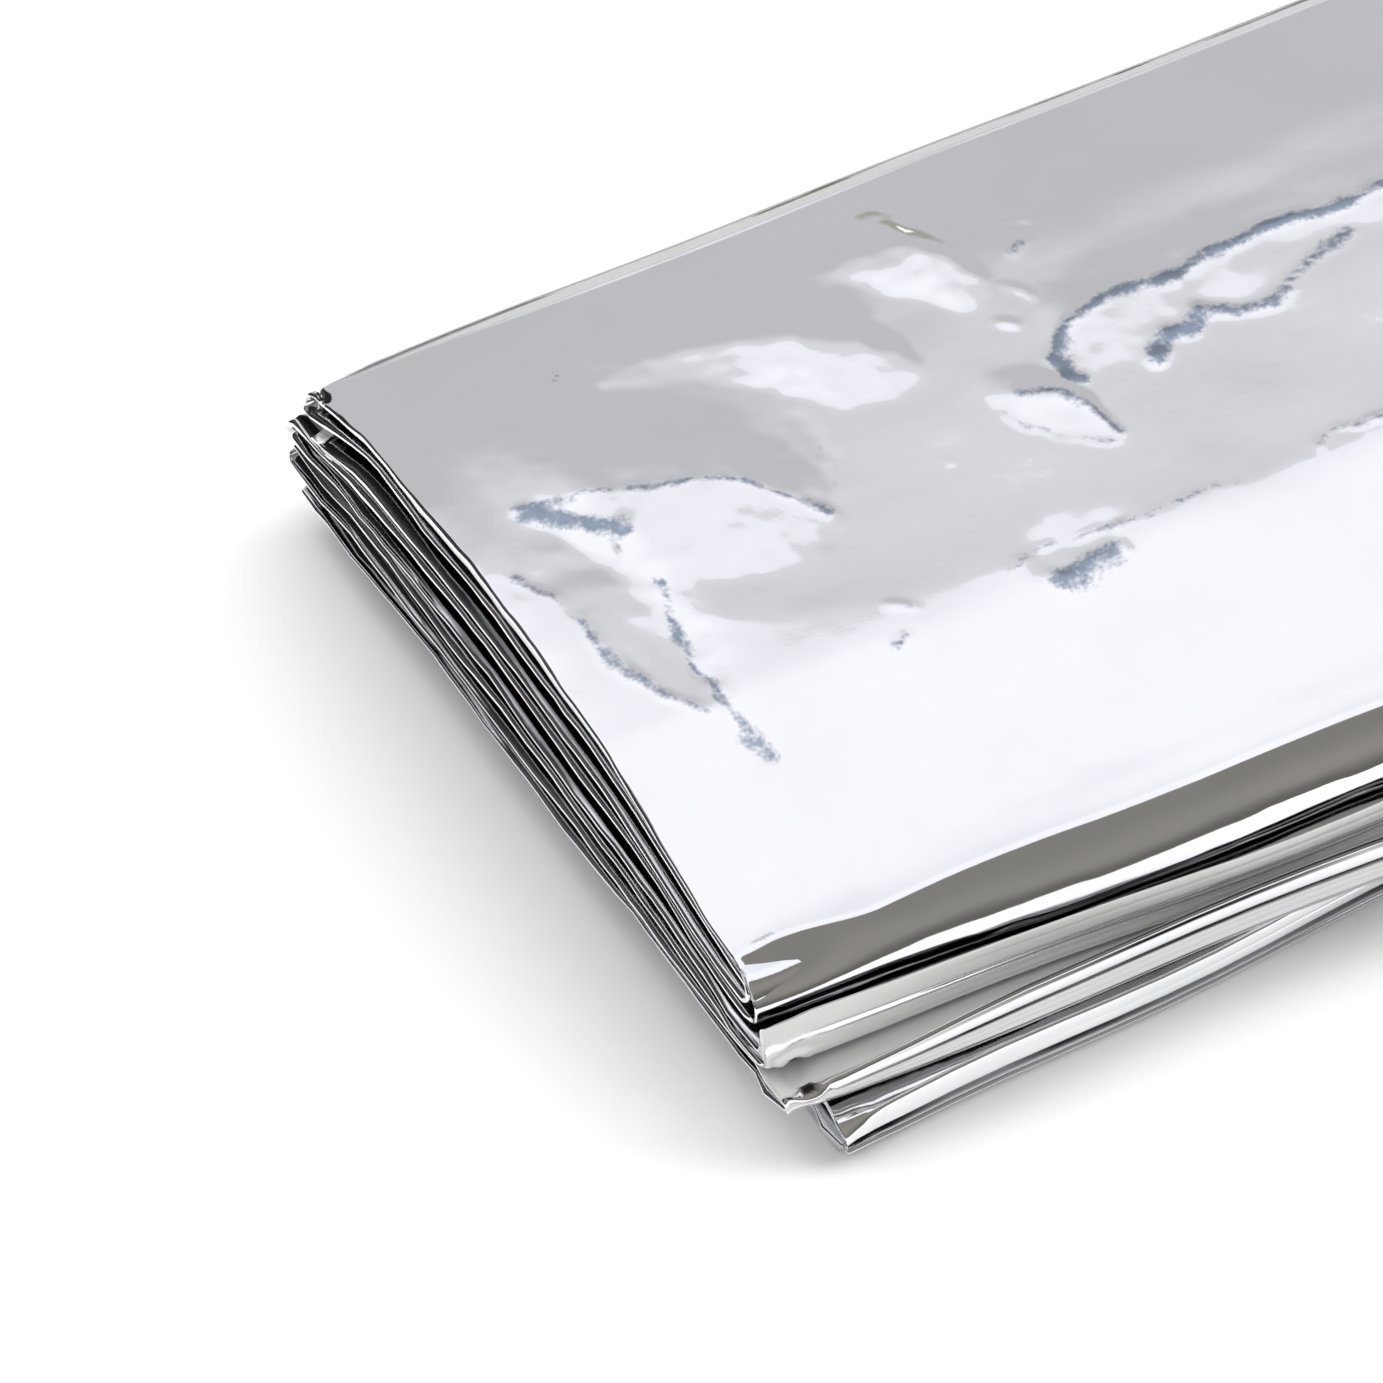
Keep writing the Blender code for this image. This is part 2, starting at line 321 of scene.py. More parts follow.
# From where to where along the packet each face changes from its left shape to the other, where the
# roll has the other shape again at its very end, and how far the bends are softened.
FACE_CHANGES = {3: (3.0, 13.0), 5: (0.0, 26.0), 7: (0.0, 26.0), 9: (4.0, 9.0)}
FACE_CORNER = (-0.6, 1.0)
FACE_SOFT = 0.022

# The lines pressed into those faces: the fold, the share of its turn, how wide and how deep each is, how
# it drifts, from where it starts and is full, and how much painted shade darkens it. Three lines have no
# depth and are painted shade only.
GROOVE_COLUMNS = ("to", "share", "wide", "deep", "drift", "from_x", "full_x", "painted_shade")
GROOVES = (
    (5, 0.61, 0.02, 0.3, 0.02, 3.0, 9.0, 0.0),
    (5, 0.47, 0.014, 0.06, 0.03, 14.0, 24.0, 0.2),
    (5, 0.72, 0.014, 0.12, 0.03, 10.0, 20.0, 0.1),
    (5, 0.8, 0.014, 0.1, 0.02, 8.0, 18.0, 0.1),
    (7, 0.262, 0.024, 0.0, 0.004, 12.0, 26.0, 1.0),
    (7, 0.345, 0.024, 0.06, 0.006, 8.0, 20.0, 1.0),
    (7, 0.515, 0.024, 0.25, 0.006, 2.0, 9.0, 1.0),
    (7, 0.6, 0.012, 0.08, 0.02, 6.0, 14.0, 0.1),
    (7, 0.67, 0.012, 0.08, 0.02, 6.0, 14.0, 0.1),
    (7, 0.77, 0.026, 0.05, 0.01, 8.0, 18.0, 0.9),
    (9, 0.45, 0.012, 0.05, 0.03, 20.0, 34.0, 0.1),
    (9, 0.62, 0.032, 0.0, 0.004, 0.0, 3.0, 1.0),
    (9, 0.8, 0.05, 0.0, 0.004, 0.0, 3.0, 1.0),
)

# Where those faces are satin with fine pleats, by share of the turn, and how much.
SATIN_COLUMNS = ("to", "first", "last", "much")
SATINS = ((5, 0.34, 0.6, 0.95), (5, 0.67, 0.92, 0.85), (7, -0.1, 0.12, 0.85), (7, 0.53, 0.76, 0.8))
# The layer that shows as a satin ledge under its fold.
LEDGE = 6
LEDGE_SATIN = 0.85

# The curled bit of film at the front's left corner: its middle, how wide its rings are, how far they
# stand out and how much painted shade darkens them between.
BIT_X = 2.8
BIT_Z = 7.4
BIT_RING = 1.5
BIT_OUT = 0.7
BIT_PAINTED_SHADE = 0.95

# How fine the sheet's mesh is: the rows at each end, the fine rows to FINE_END, plainer ones to
# SHOWN_END and far ones beyond. Hidden faces use one row in COARSE_EVERY. Then how many steps the
# layers and folds have, how finely those that show are split, and how thin the ends close.
END_STEPS = (
    0.0, 0.03, 0.1, 0.22, 0.36, 0.52, 0.8, 1.15, 1.5,
    1.9, 2.3, 2.7, 3.1, 3.5, 4.0, 4.6, 5.3, 6.0,
)
FINE_END = 72.0
FINE_STEP = 0.44
SHOWN_END = 98.0
PLAIN_STEP = 0.95
FAR_STEP = 2.0
COARSE_EVERY = 12
LAYER_STEPS = 36
FINE_SPLIT = 4
BACK_SPLIT = 12
TURN_STEPS = 8
NOSE_STEPS = 24
NOSE_SPLIT = 3
ROLL_STEPS = 14
ROLL_SPLIT = 3
THIN_END = 0.12

# How the layers' ends wander, flare at the back corner, thin out, curl down, open and crumple, and
# how much calmer the end of the roll is.
EDGE_WANDER = 0.2
FLARE = 0.5
FLARE_GROWS = (66.0, 74.0)
EDGE_FADE = 5.0
THIN_TO = 0.34
THIN_FADE = 3.6
END_CURL_TOP = 0.1
END_CURL = 0.34
END_CURL_WIDE = 0.85
END_CURL_BACK = 1.0
END_CURL_GROWS = (52.0, 70.0)
LIFT_SHARE = 0.34
LIFT_FADE = 4.2
CORNER_CRUMPLE = 0.55
CORNER_FADE = 2.6
CORNER_FRONT = -3.0
CORNER_BACK = 76.0
CORNER_GROWS = (68.0, 75.0)
ROLL_CALM = 0.85

# The camera looks at a point of the top from the photograph's side.
AIM = (10.95, 29.33, 16.4)
AZIMUTH = -28.3
ELEVATION = 47.0
CAMERA_FAR = 2.5
FRAME_WIDE = 0.11064
SENSOR = 36.0
CAMERA_SEES = 20.0

FLOOR_SIDE = 6.0
FLOOR_BELOW = 0.0002

# The film's colours: clear and cloudy, satin along its pleats, a dark bluish grey that paints the
# reflection in its crumpled marks, and near black that paints shade deep in its folds and gaps.
FILM_CLEAR = (0.90, 0.90, 0.925, 1.0)
FILM_CLOUDY = (0.86, 0.865, 0.885, 1.0)
FILM_SATIN = (0.74, 0.74, 0.73, 1.0)
FILM_CRUMPLE_PAINTED_REFLECTION = (0.27, 0.32, 0.40, 1.0)
FILM_PAINTED_SHADE = (0.012, 0.012, 0.014, 1.0)

# The studio that the film mirrors. Its angles go up the back wall, over the lamp overhead and down
# the front wall, in degrees. Its places aside go from -1 at the left to 1 at the right.
WALL_FOOT = (0.36, 0.345, 0.30, 1.0)
WALL_MIDDLE = (0.57, 0.57, 0.58, 1.0)
WALL_TOP = (0.745, 0.745, 0.77, 1.0)
FRONT_TOP = (0.212, 0.203, 0.184, 1.0)
FRONT_MIDDLE = (0.285, 0.272, 0.246, 1.0)
FRONT_FOOT = (0.14, 0.135, 0.122, 1.0)
SIDE_DARK = (0.018, 0.019, 0.021, 1.0)
SIDE_STREAK = (0.085, 0.085, 0.085, 1.0)
LAMP_BACK = (0.93, 0.93, 0.975, 1.0)
LAMP_FRONT = (1.04, 1.04, 1.08, 1.0)
STUDIO_FLOOR = (0.8, 0.8, 0.8, 1.0)
ROOM_LIGHT = (0.56, 0.56, 0.56, 1.0)
LAMP_LIGHT = (3.3, 3.3, 3.3, 1.0)
WALL_RISES = (1.0, 7.0)
WALL_BRIGHTENS = (34.0, 46.5)
LAMP_STARTS = (47.4, 48.3)
LAMP_BRIGHTENS = (48.0, 62.0)
LAMP_ENDS = (84.5, 81.5)
FRONT_STARTS = (82.5, 85.0)
FRONT_BRIGHTENS = (84.0, 112.0)
FRONT_DARKENS = (120.0, 166.0)
LAMP_LEFT = (-0.38, -0.32)
LAMP_RIGHT = (0.74, 0.70)
SIDE_STARTS = (-0.36, -0.44)
STREAK_STARTS = (-0.70, -0.74)
STREAK_ENDS = (-0.86, -0.80)


def rows(columns, table):
    """A table's rows, each value under its column's name."""
    return [dict(zip(columns, row)) for row in table]


LAYER_ROWS = rows(LAYER_COLUMNS, LAYERS)
GAP_ROWS = rows(GAP_COLUMNS, GAPS)
FOLD_ROWS = rows(FOLD_COLUMNS, FOLDS)
DENT_ROWS = rows(DENT_COLUMNS, DENTS)
FACET_ROWS = rows(FACET_COLUMNS, FACETS)
SIDE_FACET_ROWS = rows(FACET_COLUMNS, SIDE_FACETS)
MARK_ROWS = rows(MARK_COLUMNS, MARKS)
FACE_ROWS = {to: rows(FACE_COLUMNS, table) for to, table in FACES.items()}
GROOVE_ROWS = rows(GROOVE_COLUMNS, GROOVES)
SATIN_ROWS = rows(SATIN_COLUMNS, SATINS)


def blend(start, end, part):
    return start + (end - start) * part


def ease(low, high, value):
    part = np.clip((value - low) / (high - low), 0.0, 1.0)
    return part * part * (3.0 - 2.0 * part)


def lattice(i, j, k, seed):
    """A repeatable number from -1 to 1 for each whole-number place."""
    mixed = (i * 374761393 + j * 668265263 + k * 2147483647 + seed * 974634777) & 0xFFFFFFFF
    mixed = ((mixed ^ (mixed >> 13)) * 1274126177) & 0xFFFFFFFF
    mixed = mixed ^ (mixed >> 16)
    return (mixed & 0xFFFF) / 32767.5 - 1.0


def noise(x, y, z, seed):
    """Smooth noise from -1 to 1 with bumps about one unit across."""
    x, y, z = np.broadcast_arrays(*(np.asarray(v, float) for v in (x, y, z)))
    cell = [np.floor(v).astype(np.int64) for v in (x, y, z)]
    part = [v - c for v, c in zip((x, y, z), cell)]
    part = [p * p * p * (p * (p * 6.0 - 15.0) + 10.0) for p in part]
    total = np.zeros(x.shape)
    for a in (0, 1):
        for b in (0, 1):
            for c in (0, 1):
                weight = np.ones(x.shape)
                for step, share in zip((a, b, c), part):
                    weight = weight * (share if step else 1.0 - share)
                total += weight * lattice(cell[0] + a, cell[1] + b, cell[2] + c, seed)
    return total


def gap_below(index, x, y):
    """The air under layer number index at a place on the packet."""
    row = GAP_ROWS[index]
    grown = ease(0.0, ROLL_GROWS, x)
    front = blend(row["front_left"], row["front_right"], grown)
    near_front = 1.0 - ease(LOW_FRONT, MIDDLE_FRONT, y)
    bend = blend(BEND_LEFT, BEND_RIGHT, grown)
    near_back = np.clip((y - MIDDLE_BACK) / (TOP_BACK - MIDDLE_BACK), 0.0, 1.0) ** bend
    gap = row["middle"]
    gap = gap + (front - gap) * near_front + (row["back"] - gap) * near_back
    wave = np.sin(2.0 * math.pi * x / GAP_WAVE_LONG + index * TURN_STEP)
    return np.maximum(gap + GAP_WAVE * wave * gap, LEAST_GAP)


def turned(row, x, y):
    """A place measured along and across a row's own direction."""
    turn = math.radians(row["turn"])
    dx, dy = x - row["x"], y - row["y"]
    along = dx * math.cos(turn) + dy * math.sin(turn)
    across = dy * math.cos(turn) - dx * math.sin(turn)
    return along, across


def dent(x, y):
    """The sum of the large dents and swells at a place on the top."""
    depth = np.zeros(np.shape(x))
    for row in DENT_ROWS:
        along, across = turned(row, x, y)
        along, across = along / row["half_long"], across / row["half_wide"]
        depth = depth + row["deep"] * np.exp(-(along**2) - across**2)
    return depth


def soft_part(value, wide):
    """Zero below zero and the value itself above, with a soft bend of the given width."""
    return 0.5 * (value + np.sqrt(value * value + wide * wide))


def ridge(x, y):
    """The long low ridge, falling slowly to the front and quickly out to the back."""
    crest = np.interp(x, RIDGE_X, RIDGE_Y) + 0.6 * noise(x / 4.0, 0.5, 0.5, 13)
    to_front = np.clip((crest - y) / RIDGE_FRONT, 0.0, 1.0)
    to_back = np.clip((y - crest) / RIDGE_BACK, 0.0, 1.0)
    return RIDGE_HIGH * np.where(y < crest, 1.0 - to_front, 1.0 - to_back)


def facets(x, y, table):
    """The facets of the top, each a slope from its upper edge to its lower edge."""
    high = np.zeros(np.shape(x))
    x = x + 0.6 * noise(x / 3.0, y / 3.0, 4.5, 14) + 0.35 * noise(x / 1.2, y / 1.2, 4.5, 15)
    y = y + 0.6 * noise(x / 3.2, y / 3.2, 0.5, 11) + 0.4 * noise(x / 1.3, y / 1.3, 0.5, 12)
    for row in table:
        lower = np.interp(x, row["x"], row["lower"])
        upper = np.interp(x, row["x"], row["upper"])
        first, last = row["x"][0], row["x"][-1]
        inside = ease(first - 0.6, first + 0.6, x) * (1.0 - ease(last - 0.6, last + 0.6, x))
        tall = np.tan(row["dip"] * DEGREE) * (upper - lower) * inside
        rise = (soft_part(y - lower, 0.35) - soft_part(y - upper, 0.35)) / (upper - lower)
        fall = ease(0.0, row["fade"], y - upper)
        high = high + tall * (rise - fall)
    return high


def path_far(x, y, path_x, path_y):
    """How far a place is from a path of straight pieces."""
    far = np.full(np.shape(x), 1e6)
    for ax, ay, bx, by in zip(path_x, path_y, path_x[1:], path_y[1:]):
        long = (bx - ax) ** 2 + (by - ay) ** 2
        part = np.clip(((x - ax) * (bx - ax) + (y - ay) * (by - ay)) / long, 0.0, 1.0)
        far = np.minimum(far, np.hypot(x - ax - part * (bx - ax), y - ay - part * (by - ay)))
    return far


def marks(x, y):
    """How dull the sharp marks make the film at a place, from 0 to 1, which also sets their painted
    bluish reflection, and their height.
    """
    dull_and_reflection = np.zeros(np.shape(x))
    high = np.zeros(np.shape(x))
    wx = x + 0.5 * noise(x / 2.0, y / 2.0, 2.5, 21)
    wy = y + 0.5 * noise(x / 2.0, y / 2.0, 5.5, 22)
    broken = noise(x / 1.1, y / 1.1, 3.5, 23)
    fine = noise(x / CRUMPLE_SIZE, y / CRUMPLE_SIZE, 1.5, 31)
    spread = 0.75 + 0.55 * noise(x / 2.8, y / 2.8, 7.5, 24)
    for row in MARK_ROWS:
        far = path_far(wx, wy, row["x"], row["y"]) / (row["wide"] * spread)
        near = np.exp(-far * far)
        near = near * (1.0 + MARK_BROKEN * broken)
        dull_and_reflection = np.maximum(dull_and_reflection, row["dull_and_reflection"] * np.clip(near, 0.0, 1.0))
        high = high + row["high"] * near * (1.0 + 0.8 * fine)
    return dull_and_reflection, high


def uneven(x, y):
    """The soft unevenness that film has all over."""
    broad = noise(x / 11.0, y / 8.0, 0.5, 17) + 0.35 * noise(x / 4.5, y / 3.5, 0.5, 18)
    return UNEVEN * broad


def left_roll(x, y):
    """The top's left edge, which rolls down a little before its end."""
    near = np.clip(1.0 - x / LEFT_ROLL_WIDE, 0.0, 1.0)
    return -LEFT_ROLL * near * near * ease(*LEFT_ROLL_GROWS, y) * (1.0 - ease(*LEFT_ROLL_SHRINKS, y))


def gentler_front(x, y):
    """A little fill where the top falls most steeply towards its left front."""
    off = (y - GENTLE_Y) / GENTLE_WIDE
    near = np.exp(-np.maximum(x, 0.0) / GENTLE_FADE)
    return -GENTLE * GENTLE_WIDE * off * np.exp(-off * off) * near


def lift(index, x, y):
    """How far a layer's end stands above or below its place, in the air that it has there."""
    last = len(LAYER_ROWS) - 1
    if index >= last - 1:
        return 0.0 * x
    above = gap_below(index - 1, x, y) if index > 0 else 0.2
    room = np.minimum(above, gap_below(index, x, y)) + 0.5 * (1.0 - THIN_TO)
    wander = 1.3 * noise(y / 17.0, index * 3.7, 0.3, 41) + 0.3 * noise(y / 4.6, index * 5.1, 0.7, 43)
    left = np.exp(-np.maximum(x, 0.0) / LIFT_FADE)
    right = np.exp(-np.maximum(LENGTH - x, 0.0) / LIFT_FADE)
    return LIFT_SHARE * room * np.clip(wander, -1.0, 1.0) * (left + right)


def height(index, x, y):
    """The height of the middle of layer number index at a place on the packet."""
    last = len(LAYER_ROWS) - 1
    level = LAYER_ROWS[last]["thick"] / 2.0 + np.zeros(np.shape(x))
    for below in range(last, index, -1):
        upper, lower = LAYER_ROWS[below - 1], LAYER_ROWS[below]
        level = level + (upper["thick"] + lower["thick"]) / 2.0 + gap_below(below - 1, x, y)
    if index < DENTED_LAYERS:
        level = level + dent(x, y) * DENT_LEFT_BELOW**index
    if index < last - 1:
        near = np.exp(-np.maximum(x, 0.0) / END_CURL_WIDE)
        near = near + np.exp(-np.maximum(LENGTH - x, 0.0) / END_CURL_WIDE)
        much = END_CURL * (1.0 + END_CURL_BACK * ease(*END_CURL_GROWS, y)) if index else END_CURL_TOP
        level = level - much * near
    if index < len(SAGS):
        level = level - SAGS[index] * np.exp(-np.maximum(x, 0.0) / SAG_WIDE) * ease(*SAG_GROWS, y)
    return level + lift(index, x, y)


def reach(fold, part):
    """How far out a fold's outside reaches at a share of the packet's length."""
    turn = 2.0 * math.pi * part * LENGTH / WAVE_LONG + fold["to"] * TURN_STEP
    out = blend(fold["reach_left"], fold["reach_right"], part) + fold["wave"] * np.sin(turn)
    return out + SAG_REACH * np.exp(-part * LENGTH / SAG_WIDE) if fold["to"] == 0 else out


def place(index, other, share, part, y):
    """The X of a point between layers index and other, at a share of the layers' own length."""
    one, two = LAYER_ROWS[index], LAYER_ROWS[other]
    left = blend(one["left"], two["left"], share)
    right = blend(one["right"], two["right"], share)
    skew = blend(one["skew"], two["skew"], share)
    left = left + skew * (1.0 - y / TOP_BACK)
    number = blend(float(index), float(other), share)
    near_left = np.exp(-part * LENGTH / EDGE_FADE)
    near_right = np.exp(-(1.0 - part) * LENGTH / EDGE_FADE)
    wander = noise(y / 9.0, number * 2.3, 0.4, 51) + 0.25 * noise(y / 2.4, number * 2.3, 0.8, 53)
    x = blend(left, LENGTH - right, part)
    flare = FLARE * np.exp(-part * LENGTH / 2.5) * ease(*FLARE_GROWS, y) * (1.0 - ease(3.0, 5.0, number))
    return x - flare + EDGE_WANDER * wander * (near_left - near_right)


def fold_start(fold, part):
    """The Y at which a fold starts to turn, so that its outside ends at its reach."""
    one, two, side = fold["from"], fold["to"], fold["side"]
    half = LAYER_ROWS[one]["thick"] / 2.0
    outside = reach(fold, part)
    y = outside
    for _ in range(FIT_ROUNDS):
        x = place(one, two, 0.5, part, y)
        rise = np.abs(height(one, x, y) - height(two, x, y)) / 2.0
        y = outside - side * (half + rise)
    return y


def half_thick(thick, number, part, y):
    """Half a layer's thickness: full inside, thin and uneven towards its ends, and rounded off."""
    from_end = np.minimum(part, 1.0 - part) * LENGTH
    ragged = 0.5 + 0.5 * noise(y / 6.0, number * 4.1, 0.2, 61)
    thin = (1.0 - THIN_TO * (0.7 + 0.8 * ragged)) * np.exp(-((from_end / THIN_FADE) ** 1.5))
    half = thick / 2.0 * (1.0 - thin)
    close = np.clip(1.0 - from_end / half, 0.0, 1.0)
    return half * np.sqrt(np.maximum(1.0 - close**2, THIN_END**2))


def face_shape(to, x, share):
    """How far out and how high a front fold's outer face lies at a share of its turn."""
    table = FACE_ROWS[to]
    soft = min(FACE_SOFT, share, 1.0 - share)
    grown = ease(*FACE_CHANGES[to], x)
    if to == 3:
        grown = np.maximum(grown, 1.0 - ease(*FACE_CORNER, x))
    at = [row["share"] for row in table]
    shape = []
    for name in ("out", "high"):
        ends = []
        for column in (name + "_left", name):
            values = [row[column] for row in table]
            near = [np.interp(share + step * soft, at, values) for step in (-1.0, -0.5, 0.0, 0.5, 1.0)]
            ends.append(sum(near) / len(near))
        shape.append(blend(ends[0], ends[1], grown))
    return shape


def grooves(to, x, share):
    """How deep the pressed lines lie and how much painted shade they carry at a share of a front fold's
    turn.
    """
    deep = np.zeros(np.shape(x))
    painted_shade = np.zeros(np.shape(x))
    for number, row in enumerate(GROOVE_ROWS):
        if row["to"] != to:
            continue
        at = row["share"] + row["drift"] * noise(x / 17.0, number * 3.3, 0.5, 101)
        there = ease(row["from_x"], row["full_x"], x)
        there = there * (0.75 + 0.5 * noise(x / 9.0, number * 2.1, 0.5, 103))
        near = np.exp(-(((share - at) / row["wide"]) ** 2))
        deep = deep + row["deep"] * there * near
        painted_shade = np.maximum(painted_shade, row["painted_shade"] * np.minimum(there * 1.3, 1.0) * ease(0.25, 0.75, near))
    return deep, painted_shade


def curled_bit(x, z):
    """The rings of the curled bit of film, from -1 where they lie deep to 1 where they stand out."""
    far = np.hypot(x - BIT_X, z - BIT_Z)
    return np.cos(2.0 * math.pi * far / BIT_RING) * np.exp(-((far / BIT_RING) ** 2))


def satin(to, x, share):
    """How satin a front fold's face is at a share of its turn."""
    much = np.zeros(np.shape(x))
    for row in SATIN_ROWS:
        if row["to"] == to:
            inside = ease(row["first"] - 0.02, row["first"] + 0.02, share)
            inside = inside * (1.0 - ease(row["last"] - 0.02, row["last"] + 0.02, share))
            much = np.maximum(much, row["much"] * inside)
    return much


def fold_radius(fold, y, share, face, part):
    """A fold's middle height and its radius on its outer or inner face, before any shaping."""
    one, two = fold["from"], fold["to"]
    x = place(one, two, share, part, y)
    first, second = height(one, x, y), height(two, x, y)
    thick = blend(LAYER_ROWS[one]["thick"], LAYER_ROWS[two]["thick"], share)
    # A front fold keeps its upper layer's unevenness until it nears its lower layer.
    number = blend(float(one), float(two), ease(0.7, 1.0, share) if two in FACES else share)
    radius = np.abs(first - second) / 2.0 + face * half_thick(thick, number, part, y)
    return x, (first + second) / 2.0, radius


def early_bend(fold, y, part):
    """How far behind its turn the front roll's outside starts to bend."""
    x, _, radius = fold_radius(fold, y, 0.0, 1.0, part)
    out, _ = face_shape(fold["to"], x, 0.0)
    return -radius * out


def stations():
    """How far along the packet each row of the mesh lies, and which rows the coarse faces use."""
    fine = list(np.arange(END_STEPS[-1] + FINE_STEP, FINE_END, FINE_STEP))
    plain = list(np.arange(FINE_END, SHOWN_END, PLAIN_STEP))
    plain += list(np.arange(SHOWN_END, LENGTH - END_STEPS[-1] - 0.4, FAR_STEP))
    far = [LENGTH - step for step in reversed(END_STEPS[::2])]
    middle = fine + plain
    coarse = list(range(len(END_STEPS)))
    coarse += [len(END_STEPS) + i for i in range(COARSE_EVERY - 1, len(fine), COARSE_EVERY)]
    first_plain = len(END_STEPS) + len(fine)
    coarse += [first_plain + i for i in range(2, len(plain) - 1, COARSE_EVERY // 2)]
    first_far = first_plain + len(plain)
    coarse += [first_far + i for i in range(len(far))]
    along = np.array(list(END_STEPS) + middle + far)
    return along / LENGTH, np.array(coarse)


def corner_crumple(points, part, y, number):
    """Push points about near the packet's corners and ends, as creased film stands."""
    x, z = points[:, 0], points[:, 2]
    near = np.exp(-np.minimum(part, 1.0 - part) * LENGTH / CORNER_FADE)
    near_fold = np.exp(-np.minimum(np.abs(y - CORNER_FRONT), np.abs(y - CORNER_BACK)) / 5.0)
    near_back = np.exp(-part * LENGTH / 3.0) * ease(*CORNER_GROWS, y)
    strength = CORNER_CRUMPLE * (near * (0.12 + 0.88 * near_fold) + 0.7 * near_back)
    in_roll = (1.0 - ease(2.6, 3.4, number)) * (1.0 - ease(20.0, 40.0, y))
    strength = strength * (1.0 - ROLL_CALM * in_roll)
    moved = points.copy()
    for axis, share in enumerate((0.8, 0.7, 0.45)):
        one = noise(x / 2.1, y / 2.6, z / 1.9, 70 + axis)
        two = noise(x / 0.9, y / 1.2, z / 0.8, 80 + axis)
        moved[:, axis] += share * strength * (one + 0.5 * two)
    moved[:, 2] = np.maximum(moved[:, 2], 0.02)
    return moved


def flatter_back(x, y, back):
    """How much higher the top lies than its layer: it stays flat longer, then dips to the back."""
    level = height(0, x, MIDDLE_BACK + 0.0 * x)
    drop = level - height(0, x, back)
    part = np.clip((y - MIDDLE_BACK) / (back - MIDDLE_BACK), 0.0, 1.0)
    first, last = (soft_part(end - FLAT_SHARE, FLAT_SOFT) for end in (0.0, 1.0))
    dip = (soft_part(part - FLAT_SHARE, FLAT_SOFT) - first) / (last - first)
    raised = (level - height(0, x, y)) - drop * dip
    return np.where(y > MIDDLE_BACK, raised, 0.0) * ease(FLAT_FROM, FLAT_FULL, x)


def back_strip(x, back):
    """How much of the back strip there is, its two widths and how much higher its rim stands."""
    there = ease(*STRIP_GROWS, x)
    line = LINE_WIDE * (0.3 + 0.7 * there)
    band = BAND_WIDE * (0.1 + 0.9 * there) * (1.0 - 0.45 * ease(*STRIP_SHRINKS, x))
    inner = back - line - band
    own = height(0, x, inner) + flatter_back(x, inner, back)
    own = own - height(0, x, back) - flatter_back(x, back, back)
    drop = line * math.tan(LINE_SLOPE * DEGREE) + band * math.tan(BAND_SLOPE * DEGREE)
    return np.sqrt(there), line, band, own - drop


def back_edge(x, y, back):
    """How much higher the back strip stands than the top itself, and how satin it is."""
    there, line, band, _ = back_strip(x, back)
    into = back - y
    wide = line + band
    inner = back - wide
    level = height(0, x, inner) + flatter_back(x, inner, back)
    level = level - np.clip(wide - into, 0.0, line) * math.tan(LINE_SLOPE * DEGREE)
    level = level - np.maximum(band - into, 0.0) * math.tan(BAND_SLOPE * DEGREE)
    rise = np.where(into < wide, level - height(0, x, y) - flatter_back(x, y, back), 0.0)
    return there * rise, RIM_SATIN * there * (1.0 - ease(band - 0.15, band + 0.02, into))


def back_edge_turn(x, turn, back):
    """The rim behind that strip, where the sheet begins to turn down."""
    there, _, _, high = back_strip(x, back)
    top = math.pi - turn
    slope = RIM_SLOPE * DEGREE
    bent = min(top, slope)
    rise = high + RIM_RADIUS * (1.0 - math.cos(bent) - math.tan(slope) * math.sin(bent))
    return there * rise * (1.0 - ease(slope, math.pi / 2.0, top))


def layer_column(index, start, end, share, face, part, top):
    """One line of points along a layer: at a share of its width, on one of its faces."""
    y = blend(start, end, share)
    x = place(index, index, 0.0, part, y)
    z = height(index, x, y)
    half = half_thick(LAYER_ROWS[index]["thick"], float(index), part, y)
    looks = np.zeros((len(part), 3))
    if top:
        inner = ease(0.0, 3.0, y - end) * ease(TOP_BACK, TOP_BACK - 3.0, y)
        mark, fine = marks(x, y)
        folds = facets(x, y, FACET_ROWS) + facets(y, x, SIDE_FACET_ROWS)
        soft = left_roll(x, y) + uneven(x, y) + gentler_front(x, y)
        z = z + inner * (ridge(x, y) + folds + fine + soft)
        raised, band_satin_and_shade = back_edge(x, y, start)
        z = z + flatter_back(x, y, start) + raised
        looks[:, 1] = band_satin_and_shade
        # Painted shade on the back band, in step with its satin.
        looks[:, 2] = BAND_PAINTED_SHADE * band_satin_and_shade
        # The marks make the film rougher and paint a dark bluish reflection into its colour.
        looks[:, 0] = mark * ease(0.0, 0.6, y - end) * ease(TOP_BACK, TOP_BACK - 3.0, y)
    else:
        from_end = np.minimum(part, 1.0 - part) * LENGTH
        # Painted shade on every face but the top's outer one, away from the ends and the front, the
        # packet's underside too.
        looks[:, 2] = GAP_PAINTED_SHADE * ease(0.15, 0.7, from_end) * ease(3.0, 7.0, y)
    if index == LEDGE:
        looks[:, 1] = LEDGE_SATIN * (1.0 - ease(2.0, 4.5, y - end))
    points = np.stack([x, y, z + face * half], axis=1)
    if index == len(LAYER_ROWS) - 1 and face < 0:
        points[:, 2] = 0.0
        return points, looks
    return corner_crumple(points, part, y, float(index)), looks


